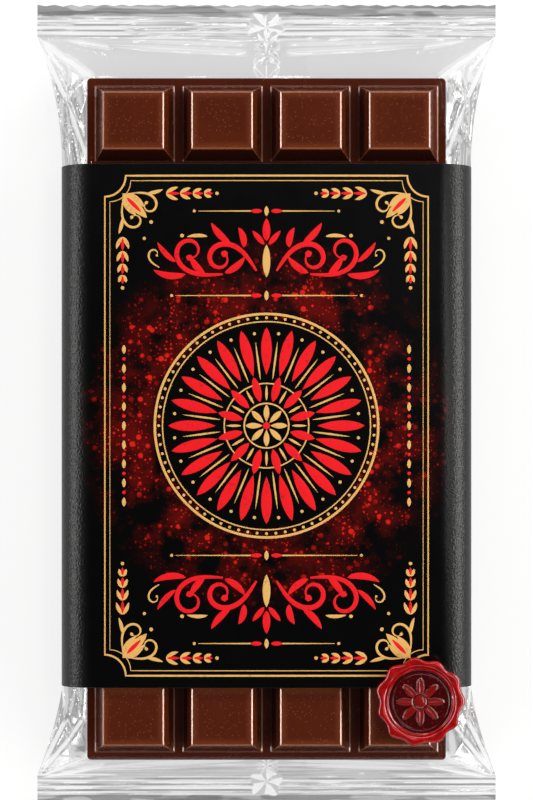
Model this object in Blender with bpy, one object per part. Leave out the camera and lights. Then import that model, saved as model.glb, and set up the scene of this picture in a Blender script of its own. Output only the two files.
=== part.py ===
"""A moulded chocolate bar in a clear flow-wrap film, with a printed card sleeve and a wax seal.

The pack lies on the sleeve's back. X runs across its width, +Y towards the top of the sleeve's
front and +Z up out of the front. The origin is under the middle of the whole pack.
Lengths are in metres.
"""

import math

import bmesh
import bpy
from mathutils import Vector

# Gaps and walls between the pieces, from the table upwards
GAP = 0.0003
CARD = 0.0005
FILM = 0.0003
SEAM_FOLD = 0.0005

# The chocolate bar
BAR_WIDTH = 0.0808
BAR_LENGTH = 0.153
BAR_CENTRE_Y = -0.003
COLUMNS = 4
ROWS = 8
PLATE_HEIGHT = 0.0033
BLOCK_HEIGHT = 0.0052
BLOCK_TAPER = 0.0023
BLOCK_EDGE_ROUND = 0.00035
RIM = 0.0020
RIM_ROUND = 0.0005
GROOVE = 0.0019
WALL_DRAFT = 0.0003
PLATE_CORNER = 0.0009

# The film pack
PACK_LENGTH = 0.1792
CRIMP = 0.0070
CRIMP_HALF_WIDTH = 0.0512
CRIMP_THICKNESS = 0.0008
CRIMP_PLAIN_EDGE = 0.0019
CRIMP_RIBS = 4
RIB_HEIGHT = 0.00025
TOOTH_DEPTH = 0.0008
FILM_HALF_WIDTH = 0.0457
FILM_TOP_FLARE = 2.05
FILM_BOTTOM_FLARE = 1.4
FLAT_HALF_WIDTH = 0.0375
BACK_FLAT_HALF_WIDTH = 0.0410
FLAT_CELLS = 20
SIDE_CELLS = 4
SEAM_CELLS = 3
SEAM_STEP = 0.00004
VENT_RADIUS = 0.0006

# The card sleeve
SLEEVE_TOP = 0.0531
SLEEVE_BOTTOM = -0.0624
SLEEVE_HALF_WIDTH = 0.0457
SLEEVE_CROWN = 0.0004
SHOULDER_WIDTH = 0.0077
BACK_CORNER = 0.0060
LAP_START = -0.030
LAP_WIDTH = 0.012
LAP_NOTCH = 0.00025

# The wax seal
SEAL_X = 0.0337
SEAL_Y = -0.0652
SEAL_RADIUS = 0.0094
SEAL_LOBES = 11
SEAL_LOBE_DEPTH = 0.00042
SEAL_SIDES = 88
SEAL_HEIGHT = 0.0023
SEAL_DISH_DEPTH = 0.0008
SEAL_DISH_RADIUS = 0.0071
SEAL_PETALS = 8
SEAL_PETAL_HEIGHT = 0.0004

# Heights that follow from the stack of card, film and chocolate
FILM_BACK = CARD + GAP + SEAM_FOLD
BAR_BACK = FILM_BACK + FILM + GAP
BAR_HEIGHT = PLATE_HEIGHT + BLOCK_HEIGHT
FILM_FRONT = BAR_BACK + BAR_HEIGHT + GAP + FILM
SLEEVE_FRONT = FILM_FRONT + GAP + CARD
CRIMP_Z = 0.0052
PACK_END = PACK_LENGTH / 2
CRIMP_START = PACK_END - CRIMP
BAR_END_CLEARANCE = 0.0004


def clear_scene():
    for thing in list(bpy.data.objects):
        bpy.data.objects.remove(thing)


def finish_material(name, colour, roughness, alpha=1.0):
    material = bpy.data.materials.new(name)
    material.use_nodes = True
    shader = material.node_tree.nodes["Principled BSDF"]
    shader.inputs["Base Color"].default_value = (*colour, 1.0)
    shader.inputs["Roughness"].default_value = roughness
    shader.inputs["Metallic"].default_value = 0.0
    shader.inputs["Alpha"].default_value = alpha
    return material


def new_object(name, bm, material, smooth_angle=None):
    mesh = bpy.data.meshes.new(name)
    bmesh.ops.recalc_face_normals(bm, faces=bm.faces)
    bm.to_mesh(mesh)
    bm.free()
    if smooth_angle is not None:
        mesh.shade_smooth()
        mesh.set_sharp_from_angle(angle=smooth_angle)
    thing = bpy.data.objects.new(name, mesh)
    thing.data.materials.append(material)
    bpy.context.scene.collection.objects.link(thing)
    return thing


def cutter(name, bm):
    """A mesh that only cuts others: it isn't a piece of the pack."""
    mesh = bpy.data.meshes.new(name)
    bmesh.ops.recalc_face_normals(bm, faces=bm.faces)
    bm.to_mesh(mesh)
    bm.free()
    thing = bpy.data.objects.new(name, mesh)
    thing.display_type = "WIRE"
    thing.hide_render = True
    bpy.context.scene.collection.objects.link(thing)
    return thing


def cut(thing, tool):
    boolean = thing.modifiers.new("cut_" + tool.name, "BOOLEAN")
    boolean.operation = "DIFFERENCE"
    boolean.solver = "EXACT"
    boolean.object = tool


def bridge(bm, lower, upper):
    """Quads between two closed rings of the same number of vertices."""
    count = len(lower)
    for k in range(count):
        after = (k + 1) % count
        bm.faces.new((lower[k], lower[after], upper[after], upper[k]))


def block_lines(length, count):
    """Both edges of each block along one side of the bar, measured from its middle."""
    block = (length - 2 * RIM - (count - 1) * GROOVE) / count
    start = -length / 2 + RIM
    lines = []
    for k in range(count):
        left = start + k * (block + GROOVE)
        lines += [left, left + block]
    return lines


def chocolate_bar(material):
    """One casting: a thin plate with tapered walls, and blocks with sloped sides on it."""
    inset = WALL_DRAFT + RIM_ROUND
    edge_x = BAR_WIDTH / 2 - inset
    edge_y = BAR_LENGTH / 2 - inset
    lines_x = [-edge_x, *block_lines(BAR_WIDTH, COLUMNS), edge_x]
    lines_y = [-edge_y, *block_lines(BAR_LENGTH, ROWS), edge_y]
    bm = bmesh.new()
    grid = [[bm.verts.new((x, y, PLATE_HEIGHT)) for x in lines_x] for y in lines_y]
    blocks = []
    for j in range(len(lines_y) - 1):
        for i in range(len(lines_x) - 1):
            face = bm.faces.new((grid[j][i], grid[j][i + 1], grid[j + 1][i + 1], grid[j + 1][i]))
            if i % 2 == 1 and j % 2 == 1:
                blocks.append(face)

    right = [row[-1] for row in grid[1:-1]]
    left = [row[0] for row in grid[-2:0:-1]]
    rim = [*grid[0], *right, *grid[-1][::-1], *left]
    ring = rim
    for outset, height in plate_wall():
        lower = []
        for vertex in rim:
            x, y = vertex.co.x, vertex.co.y
            side_x = math.copysign(outset, x) if abs(x) > edge_x - GAP else 0.0
            side_y = math.copysign(outset, y) if abs(y) > edge_y - GAP else 0.0
            lower.append(bm.verts.new((x + side_x, y + side_y, height)))
        bridge(bm, lower, ring)
        ring = lower
    bm.faces.new(ring[::-1])

    bm.normal_update()
    bmesh.ops.inset_individual(
        bm, faces=blocks, thickness=BLOCK_TAPER, depth=0.0, use_even_offset=True
    )
    tops = set(blocks)
    for vertex in {v for face in tops for v in face.verts}:
        vertex.co.z += BLOCK_HEIGHT
    edges = {edge for face in tops for edge in face.edges}
    round_edges(bm, list(edges), BLOCK_EDGE_ROUND)
    corners = [
        edge
        for edge in bm.edges
        if all(abs(v.co.x) > edge_x - GAP and abs(v.co.y) > edge_y - GAP for v in edge.verts)
        and abs(edge.verts[0].co.z - edge.verts[1].co.z) > RIM_ROUND / 10
    ]
    round_edges(bm, corners, PLATE_CORNER)
    bar = new_object("chocolate_bar", bm, material, math.radians(25))
    bar.location = (0.0, BAR_CENTRE_Y, BAR_BACK)


def round_edges(bm, edges, width):
    bmesh.ops.bevel(
        bm, geom=edges, offset=width, offset_type="OFFSET", segments=2, profile=0.5, affect="EDGES"
    )


def plate_wall():
    """Outset from the plate's top edge and height, down the rounded rim and the drafted wall."""
    steps = 2
    rounded = [
        (
            RIM_ROUND * math.sin(math.pi / 2 * k / steps),
            PLATE_HEIGHT - RIM_ROUND * (1 - math.cos(math.pi / 2 * k / steps)),
        )
        for k in range(1, steps + 1)
    ]
    return [*rounded, (RIM_ROUND + WALL_DRAFT, 0.0)]


def film_half_width(y):
    """The flat seals are wider than the pack between them, so the film's sides flare out to them."""
    if y > SLEEVE_TOP + 1.5 * GAP:
        share = (y - SLEEVE_TOP) / (CRIMP_START - SLEEVE_TOP)
        flare = FILM_TOP_FLARE
    elif y < SLEEVE_BOTTOM - 1.5 * GAP:
        share = (y - SLEEVE_BOTTOM) / (-CRIMP_START - SLEEVE_BOTTOM)
        flare = FILM_BOTTOM_FLARE
    else:
        return SLEEVE_HALF_WIDTH - CARD - GAP
    return FILM_HALF_WIDTH + (CRIMP_HALF_WIDTH - FILM_HALF_WIDTH) * min(share, 1.0) ** flare


def end_share(y):
    """0 over the bar, rising to 1 at the start of the nearer crimped seal."""
    bar_top = BAR_CENTRE_Y + BAR_LENGTH / 2 + BAR_END_CLEARANCE
    bar_bottom = BAR_CENTRE_Y - BAR_LENGTH / 2 - BAR_END_CLEARANCE
    if y > 0:
        share = (y - bar_top) / (CRIMP_START - bar_top)
    else:
        share = (bar_bottom - y) / (bar_bottom + CRIMP_START)
    return min(max(share, 0.0), 1.0)


def film_height(x, y, side, half_width, wall=0.0):
    """Height of the film's outer face, in front (side 1) or behind (side -1), or of its inner face.

    The film falls away from the bar in flat facets: to the seal past the bar's end, and to the
    fold along each side.
    """
    flat, half_flat = (FILM_FRONT, FLAT_HALF_WIDTH) if side > 0 else (FILM_BACK, BACK_FLAT_HALF_WIDTH)
    meeting = CRIMP_Z + side * CRIMP_THICKNESS / 2
    across = (abs(x) - half_flat) / (half_width - half_flat)
    fall = max(end_share(y), min(max(across, 0.0), 1.0))
    return flat + (meeting - flat) * fall - side * wall


def film_columns(half_width):
    """Distances across the film: even cells over the bar, then side cells out to the fold."""
    cell = 2 * FLAT_HALF_WIDTH / FLAT_CELLS
    flat = [-FLAT_HALF_WIDTH + cell * k for k in range(FLAT_CELLS + 1)]
    side = [
        FLAT_HALF_WIDTH + (half_width - FLAT_HALF_WIDTH) * k / SIDE_CELLS
        for k in range(1, SIDE_CELLS + 1)
    ]
    seam = [-SEAM_STEP, SEAM_CELLS * cell + SEAM_STEP]
    return sorted([-x for x in side] + flat + side + seam)


def body_stations():
    """Places along the film between its two seals, closer together where it folds."""
    bar_top = BAR_CENTRE_Y + BAR_LENGTH / 2 + BAR_END_CLEARANCE
    bar_bottom = BAR_CENTRE_Y - BAR_LENGTH / 2 - BAR_END_CLEARANCE
    stations = [SLEEVE_BOTTOM - GAP, SLEEVE_TOP + GAP]
    for k in range(SIDE_CELLS + 1):
        share = k / SIDE_CELLS
        stations.append(bar_bottom + (-CRIMP_START - bar_bottom) * share)
        stations.append(bar_top + (CRIMP_START - bar_top) * share)
    free = 5
    for k in range(free):
        share = (k + 0.25) / free
        stations.append(SLEEVE_BOTTOM + (bar_bottom - SLEEVE_BOTTOM) * share)
        stations.append(SLEEVE_TOP + (bar_top - SLEEVE_TOP) * share)
    return sorted(stations)


def crimp_stations():
    """Offset outwards from the seal's start, and the rib height there: ribs, then a plain edge."""
    half_rib = (CRIMP - CRIMP_PLAIN_EDGE) / (2 * CRIMP_RIBS)
    ribs = [(half_rib * k, RIB_HEIGHT * (k % 2)) for k in range(1, 2 * CRIMP_RIBS + 1)]
    return [*ribs, (CRIMP - TOOTH_DEPTH, 0.0)]


def seam_depth(x):
    """The back seam is folded flat to one side and lies under the film's back."""
    cell = 2 * FLAT_HALF_WIDTH / FLAT_CELLS
    inside = -SEAM_STEP / 2 < x < SEAM_CELLS * cell + SEAM_STEP / 2
    return SEAM_FOLD if inside else 0.0


def film_outside(bm):
    """The closed outer surface, from one toothed edge to the other."""
    stations = [(y, 0.0) for y in body_stations()]
    for offset, rib in crimp_stations():
        stations.append((CRIMP_START + offset, rib))
        stations.insert(0, (-CRIMP_START - offset, rib))
    rings = []
    for y, rib in stations:
        columns = film_columns(film_half_width(y))
        half = columns[-1]
        front = [bm.verts.new((x, y, film_height(x, y, 1, half) + rib)) for x in columns]
        back = [bm.verts.new((x, y, film_height(x, y, -1, half) + rib - seam_depth(x))) for x in columns]
        rings.append((front, back))
    for (front, back), (next_front, next_back) in zip(rings, rings[1:]):
        sheet(bm, front, next_front, mirror=False)
        sheet(bm, back, next_back, mirror=True)
        bm.faces.new((back[0], front[0], next_front[0], next_back[0]))
        bm.faces.new((front[-1], back[-1], next_back[-1], next_front[-1]))
    toothed_edge(bm, *rings[-1], PACK_END)
    toothed_edge(bm, *rings[0], -PACK_END)


def sheet(bm, row, next_row, mirror):
    """One strip of the film as triangles, split along the folds that run out to the pack's corners."""
    for k in range(len(row) - 1):
        a, b, c, d = row[k], row[k + 1], next_row[k + 1], next_row[k]
        middle = (a.co + c.co) / 2
        outward = middle.x * middle.y > 0
        halves = [(a, b, c), (a, c, d)] if outward else [(a, b, d), (b, c, d)]
        for face in halves:
            bm.faces.new(face[::-1] if mirror else face)


def toothed_edge(bm, front, back, y):
    """The knife-cut end of a seal: a tooth for each column, cut through both layers."""
    tips = []
    for k in range(len(front) - 1):
        narrow = front[k + 1].co.x - front[k].co.x < 2 * SEAM_STEP
        place = [(ring[k].co + ring[k + 1].co) / 2 for ring in (front, back)]
        if narrow:
            tips.append(None)
            bm.faces.new((front[k], front[k + 1], back[k + 1], back[k]))
        else:
            tip = [bm.verts.new(Vector((p.x, y, p.z))) for p in place]
            tips.append(tip)
            bm.faces.new((front[k], front[k + 1], tip[0]))
            bm.faces.new((back[k], tip[1], back[k + 1]))
            bm.faces.new((front[k], tip[0], tip[1], back[k]))
            bm.faces.new((tip[0], front[k + 1], back[k + 1], tip[1]))


def film_inside(bm):
    """The closed inner surface, one film thickness in, ending where the two layers are sealed."""
    rings = []
    for y in body_stations():
        outer = film_half_width(y)
        half = outer - CRIMP_THICKNESS / 2
        side = [
            FLAT_HALF_WIDTH + (half - FLAT_HALF_WIDTH) * k / SIDE_CELLS for k in range(SIDE_CELLS + 1)
        ]
        columns = [-x for x in side[::-1]] + side
        near_end = math.copysign(min(abs(y), CRIMP_START - FILM), y)
        front = [bm.verts.new((x, near_end, film_height(x, y, 1, outer, FILM))) for x in columns]
        back = [bm.verts.new((x, near_end, film_height(x, y, -1, outer, FILM))) for x in columns]
        rings.append((front, back))
    for (front, back), (next_front, next_back) in zip(rings, rings[1:]):
        sheet(bm, front, next_front, mirror=True)
        sheet(bm, back, next_back, mirror=False)
        bm.faces.new((front[0], back[0], next_back[0], next_front[0]))
        bm.faces.new((back[-1], front[-1], next_front[-1], next_back[-1]))
    for front, back in (rings[0], rings[-1]):
        for k in range(len(front) - 1):
            bm.faces.new((front[k], front[k + 1], back[k + 1], back[k]))


def film_wrapper(material):
    """One sheet of clear film: a tube round the bar with a folded back seam, sealed flat at both ends."""
    outside = bmesh.new()
    film_outside(outside)
    bmesh.ops.dissolve_degenerate(outside, edges=outside.edges, dist=1e-7)
    film = new_object("film_wrapper", outside, material, math.radians(20))
    inside = bmesh.new()
    film_inside(inside)
    cut(film, cutter("film_space", inside))
    vent = bmesh.new()
    bmesh.ops.create_cone(
        vent, cap_ends=True, segments=10, radius1=VENT_RADIUS, radius2=VENT_RADIUS, depth=4 * FILM
    )
    vent_hole = cutter("film_vent", vent)
    vent_hole.location = (-FLAT_HALF_WIDTH / 2, SLEEVE_TOP + 2 * LAP_WIDTH / 3, FILM_BACK + FILM / 2)
    cut(film, vent_hole)


def sleeve_outline(inset):
    """The sleeve's section, counter-clockwise from the lap on its back, inset by a wall or none."""
    points = []
    corner_x = SLEEVE_HALF_WIDTH - BACK_CORNER
    shoulder_x = SLEEVE_HALF_WIDTH - SHOULDER_WIDTH
    quarter = 7
    rise = SLEEVE_FRONT - BACK_CORNER
    for k in range(quarter):
        turn = math.pi / 2 * k / quarter
        radius = BACK_CORNER - inset
        points.append((corner_x + radius * math.sin(turn), BACK_CORNER - radius * math.cos(turn)))
    for k in range(quarter):
        turn = math.pi / 2 * k / quarter
        points.append(
            (
                shoulder_x + (SHOULDER_WIDTH - inset) * math.cos(turn),
                BACK_CORNER + (rise - inset) * math.sin(turn),
            )
        )
    across = 10
    for k in range(across + 1):
        x = shoulder_x * (1 - 2 * k / across)
        points.append((x, SLEEVE_FRONT - inset + SLEEVE_CROWN * (1 - (x / shoulder_x) ** 2)))
    left = [(-x, z) for x, z in points[: 2 * quarter]]
    return points + left[::-1]


def card_sleeve(material):
    """A band of embossed card, wrapped round the film and glued on its back, where its ends lap."""
    outer = sleeve_outline(0.0)
    outer += [
        (LAP_START - LAP_NOTCH, 0.0),
        (LAP_START - LAP_NOTCH, CARD * 0.7),
        (LAP_START, CARD * 0.7),
        (LAP_START, 0.0),
    ]
    inner = sleeve_outline(CARD)
    inner += [
        (LAP_START - CARD, CARD),
        (LAP_START, 2 * CARD),
        (LAP_START + LAP_WIDTH, 2 * CARD),
        (LAP_START + LAP_WIDTH + LAP_NOTCH, CARD),
    ]
    bm = bmesh.new()
    ends = []
    for y in (SLEEVE_BOTTOM, SLEEVE_TOP):
        ends.append([[bm.verts.new((x, y, z)) for x, z in outline] for outline in (outer, inner)])
    (outer_low, inner_low), (outer_high, inner_high) = ends
    bridge(bm, outer_low, outer_high)
    bridge(bm, inner_high, inner_low)
    bridge(bm, inner_low, outer_low)
    bridge(bm, outer_high, inner_high)
    new_object("card_sleeve", bm, material, math.radians(25))


def seal_radius(turn):
    """The wax squeezed out round the stamp, in uneven lobes."""
    lobes = SEAL_LOBE_DEPTH * math.cos(SEAL_LOBES * turn)
    uneven = SEAL_LOBE_DEPTH * 0.5 * math.sin(3 * turn + 0.6) + SEAL_LOBE_DEPTH * 0.3 * math.sin(5 * turn)
    return SEAL_RADIUS + lobes + uneven


def seal_rosette(turn, radius):
    """A plain eight-petalled flower, raised from the stamped dish."""
    reach = radius / SEAL_DISH_RADIUS
    petal = 0.5 + 0.5 * math.cos(SEAL_PETALS * turn)
    outline = 0.35 + 0.45 * petal
    rise = min(max((outline - reach) / 0.16, 0.0), 1.0)
    return SEAL_PETAL_HEIGHT * rise


def wax_seal(material):
    """A lobed seal pressed over the sleeve's lower edge, so its back steps down on to the film."""
    bottom = FILM_FRONT + GAP
    step = SLEEVE_FRONT + SLEEVE_CROWN + GAP
    top = step + SEAL_HEIGHT
    dish = top - SEAL_DISH_DEPTH
    turns = [2 * math.pi * k / SEAL_SIDES for k in range(SEAL_SIDES)]
    bm = bmesh.new()

    def ring(reach, height):
        return [bm.verts.new((reach(t) * math.cos(t), reach(t) * math.sin(t), height(t))) for t in turns]

    rings = [ring(lambda t: seal_radius(t) - 0.0005, lambda t: bottom)]
    bulge = 0.0011
    for turn in (0.0, 0.35, 0.7, 1.0):
        angle = math.pi / 2 * turn
        inward = bulge * (1 - math.cos(angle))
        rings.append(
            ring(
                lambda t, inward=inward: seal_radius(t) - inward,
                lambda t, angle=angle: top - bulge + bulge * math.sin(angle),
            )
        )
    rings.append(ring(lambda t: SEAL_DISH_RADIUS + 0.0003, lambda t: top))
    for share in (1.0, 0.8, 0.68, 0.56, 0.44, 0.32, 0.16):
        reach = SEAL_DISH_RADIUS * share
        rings.append(
            ring(lambda t, reach=reach: reach, lambda t, reach=reach: dish + seal_rosette(t, reach))
        )
    for lower, upper in zip(rings, rings[1:]):
        bridge(bm, lower, upper)
    bm.faces.new(rings[0][::-1])
    bm.faces.new(rings[-1])
    seal = new_object("wax_seal", bm, material, math.radians(35))
    seal.location = (SEAL_X, SEAL_Y, 0.0)

    over_card = bmesh.new()
    bmesh.ops.create_cube(over_card, size=1.0)
    reach = 4 * SEAL_RADIUS
    bmesh.ops.scale(over_card, vec=(reach, reach, step), verts=over_card.verts)
    room = cutter("seal_step", over_card)
    room.location = (SEAL_X, SLEEVE_BOTTOM - GAP + reach / 2, step / 2)
    cut(seal, room)


def main():
    clear_scene()
    chocolate_bar(finish_material("dark_chocolate", (0.095, 0.028, 0.010), 0.32))
    film_wrapper(finish_material("clear_film", (0.90, 0.91, 0.92), 0.08, alpha=0.25))
    card_sleeve(finish_material("black_card", (0.006, 0.006, 0.007), 0.55))
    wax_seal(finish_material("red_wax", (0.42, 0.008, 0.010), 0.25))


main()
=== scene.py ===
"""A cast chocolate bar in clear film, with a printed card sleeve and a wax seal.

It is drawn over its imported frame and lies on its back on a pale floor, seen from straight above.
"""

import math
import random

import bmesh
import bpy
import numpy as np
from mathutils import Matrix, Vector


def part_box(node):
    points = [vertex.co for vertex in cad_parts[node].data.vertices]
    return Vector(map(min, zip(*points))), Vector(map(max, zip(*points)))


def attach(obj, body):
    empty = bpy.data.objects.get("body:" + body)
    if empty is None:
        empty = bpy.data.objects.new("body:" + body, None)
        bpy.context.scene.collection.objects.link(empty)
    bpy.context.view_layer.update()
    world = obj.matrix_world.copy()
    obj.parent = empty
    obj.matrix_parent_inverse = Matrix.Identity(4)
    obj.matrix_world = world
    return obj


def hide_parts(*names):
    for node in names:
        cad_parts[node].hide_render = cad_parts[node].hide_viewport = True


MM = 0.001
scene = bpy.context.scene
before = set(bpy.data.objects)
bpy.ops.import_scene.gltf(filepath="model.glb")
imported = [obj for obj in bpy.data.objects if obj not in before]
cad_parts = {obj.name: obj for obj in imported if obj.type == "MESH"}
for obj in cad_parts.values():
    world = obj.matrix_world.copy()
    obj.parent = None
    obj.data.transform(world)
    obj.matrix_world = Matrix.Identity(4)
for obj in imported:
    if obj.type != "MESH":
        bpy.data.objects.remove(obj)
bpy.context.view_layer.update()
bpy.ops.object.select_all(action="DESELECT")


# The chocolate bar
# Dark chocolate cast in a polished mould: one plate with drafted walls, and on it four by eight
# blocks with sloped sides. No corner of a mould is quite sharp, so every edge catches the light.
bar_low, bar_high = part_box("chocolate_bar")
BLOCK_COLUMNS = 4
BLOCK_ROWS = 8
PLATE = 3.3 * MM
BLOCK_HEIGHT = bar_high[2] - bar_low[2] - PLATE
BLOCK_TAPER = 2.5 * MM
GROOVE = 1.75 * MM
RIM = 2.0 * MM
WALL_DRAFT = 0.3 * MM
PLATE_CORNER = 0.9 * MM
FOOT = 0.26 * MM
FOOT_RISE = 0.16 * MM
CHAMFER = 0.38 * MM
CHAMFER_RISE = 0.24 * MM
MOULD_EDGE = 0.10 * MM
SPECK_CELL = 0.50 * MM
BROWN = (0.066, 0.0074, 0.0007, 1), (0.100, 0.0125, 0.0014, 1)
# Painted shade and light on the slopes: darker than the tops, lighter where they face right
SLOPE_SHADE_AND_LIGHT = (0.042, 0.0050, 0.0007, 1), (0.078, 0.0120, 0.0012, 1)
# A painted highlight at the foot of each block
FOOT_HIGHLIGHT_BROWN = (0.50, 0.21, 0.14, 1)
# A painted sheen near the top edges
PAINTED_SHEEN_BROWN = (0.25, 0.060, 0.018, 1)
# Painted highlights on the chamfers and on the corner ridges of the slopes
EDGE_HIGHLIGHT_BROWN = (0.36, 0.095, 0.028, 1)
SPECK_BROWN = (0.36, 0.13, 0.06, 1)
bar_middle = (bar_low[1] + bar_high[1]) / 2
bar_half = (bar_high[1] - bar_low[1]) / 2
plate_top = bar_low[2] + PLATE


def block_spans(low, high, count):
    """Where each block starts and ends along one side of the bar."""
    pitch = (high - low - 2 * RIM + GROOVE) / count
    return [(low + RIM + k * pitch, low + RIM + (k + 1) * pitch - GROOVE) for k in range(count)]


def select(thing, kind, wanted):
    """In edit mode, select only the verts, edges or faces that pass a test."""
    bpy.ops.mesh.select_mode(type={"verts": "VERT", "edges": "EDGE", "faces": "FACE"}[kind])
    mesh = bmesh.from_edit_mesh(thing.data)
    for part in (*mesh.verts, *mesh.edges, *mesh.faces):
        part.select = False
    for part in getattr(mesh, kind):
        if wanted(part):
            part.select_set(True)
    mesh.select_flush_mode()
    bmesh.update_edit_mesh(thing.data)


def apply_modifiers(thing):
    bpy.context.view_layer.objects.active = thing
    for modifier in list(thing.modifiers):
        bpy.ops.object.modifier_apply(modifier=modifier.name)


def fix(thing, name, finish, node=None):
    """Name a finished piece, give it its finish and hold it to the pack."""
    thing.name = name
    thing.data.materials.clear()
    thing.data.materials.append(finish)
    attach(thing, "root")
    if node:
        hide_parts(node)
    bpy.ops.object.select_all(action="DESELECT")


class Value:
    """A shader socket in a Python expression: each operation adds one Math node."""

    def __init__(self, paint, socket):
        self.paint = paint
        self.socket = socket

    def math(self, operation, *values):
        return self.paint.node("ShaderNodeMath", {"operation": operation}, dict(enumerate(values)))

    def __add__(self, other):
        return self.math("ADD", self, other)

    def __sub__(self, other):
        return self.math("SUBTRACT", self, other)

    def __rsub__(self, other):
        return self.math("SUBTRACT", other, self)

    def __mul__(self, other):
        return self.math("MULTIPLY", self, other)

    def __truediv__(self, other):
        return self.math("DIVIDE", self, other)

    def __pow__(self, other):
        return self.math("POWER", self, other)

    def __abs__(self):
        return self.math("ABSOLUTE", self)

    __radd__ = __add__
    __rmul__ = __mul__

    def larger(self, other):
        return self.math("MAXIMUM", self, other)

    def smaller(self, other):
        return self.math("MINIMUM", self, other)

    def sine(self):
        return self.math("SINE", self)

    def step(self, low, high):
        """0 below low and 1 above high, with a soft rise between them."""
        inputs = {"Value": self, "From Min": low, "From Max": high}
        return self.paint.node("ShaderNodeMapRange", {"interpolation_type": "SMOOTHSTEP"}, inputs)


class Paint:
    """The nodes of one finish, on the piece's own object coordinates in metres."""

    def __init__(self, name, **constants):
        self.material = bpy.data.materials.new(name)
        self.material.use_nodes = True
        self.tree = self.material.node_tree
        self.shader = self.tree.nodes["Principled BSDF"]
        for socket, value in constants.items():
            self.shader.inputs[socket.replace("_", " ")].default_value = value
        self.place = self.node("ShaderNodeTexCoord", output="Object")
        self.x, self.y, self.z = self.split(self.place)

    def node(self, kind, settings=None, inputs=None, output=0):
        """Add a node: its settings first, then the values or links of its sockets."""
        made = self.tree.nodes.new(kind)
        for name, value in (settings or {}).items():
            setattr(made, name, value)
        for name, value in (inputs or {}).items():
            self.plug(made.inputs[name], value)
        return Value(self, made.outputs[output])

    def plug(self, socket, value):
        if isinstance(value, Value):
            self.tree.links.new(value.socket, socket)
        elif isinstance(value, bpy.types.NodeSocket):
            self.tree.links.new(value, socket)
        else:
            socket.default_value = value

    def split(self, vector, axes="XYZ"):
        """The parts of a vector along the axes named."""
        return [self.node("ShaderNodeSeparateXYZ", inputs={0: vector}, output=axis) for axis in axes]

    def leaning(self, axes="XYZ"):
        """How far the surface leans towards each of the axes named, from -1 to 1."""
        return self.split(self.node("ShaderNodeTexCoord", output="Normal"), axes)

    def away_from(self, x, y):
        """How far a place is from an upright line."""
        from_x, from_y = self.x - x, self.y - y
        return (from_x * from_x + from_y * from_y) ** 0.5

    def stretched(self, x, y, z):
        """The place with each axis counted in its own length of cell."""
        inputs = {"Vector": self.place, "Scale": (1 / x, 1 / y, 1 / z)}
        return self.node("ShaderNodeMapping", {"vector_type": "POINT"}, inputs)

    def noise(self, x, y, z, detail=3.0, distortion=0.0):
        """Cloudy noise from 0 to 1, whose features are about as large as the lengths given."""
        inputs = {"Vector": self.stretched(x, y, z), "Scale": 1.0, "Roughness": 0.55}
        inputs |= {"Detail": detail, "Distortion": distortion}
        return self.node("ShaderNodeTexNoise", None, inputs)

    def cells(self, x, y, z, output="Distance", feature="F1"):
        """Cells scattered in space, about as large as the lengths given."""
        inputs = {"Vector": self.stretched(x, y, z), "Scale": 1.0}
        return self.node("ShaderNodeTexVoronoi", {"feature": feature}, inputs, output)

    def chance(self, x, y, z):
        """A random value from 0 to 1 for each of the same cells."""
        tint = self.cells(x, y, z, output="Color")
        return self.node("ShaderNodeSeparateColor", None, {0: tint})

    def mix(self, factor, first, second):
        """From one colour to another."""
        blend = {"data_type": "RGBA"}
        return self.node("ShaderNodeMix", blend, {0: factor, 6: first, 7: second}, output=2)

    def bump(self, height, strength, distance):
        inputs = {"Height": height, "Strength": strength, "Distance": distance}
        return self.node("ShaderNodeBump", None, inputs)

    def set(self, **sockets):
        for name, value in sockets.items():
            self.plug(self.shader.inputs[name.replace("_", " ")], value)


def inside_block(place, low, high, count):
    """How far a place lies inside the nearer edge of its block, along one side of the bar."""
    pitch = (high - low - 2 * RIM + GROOVE) / count
    half = (pitch - GROOVE) / 2
    away = place - (low + RIM + half)
    return half - abs(away.math("WRAP", away, pitch / 2, -pitch / 2))


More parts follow.
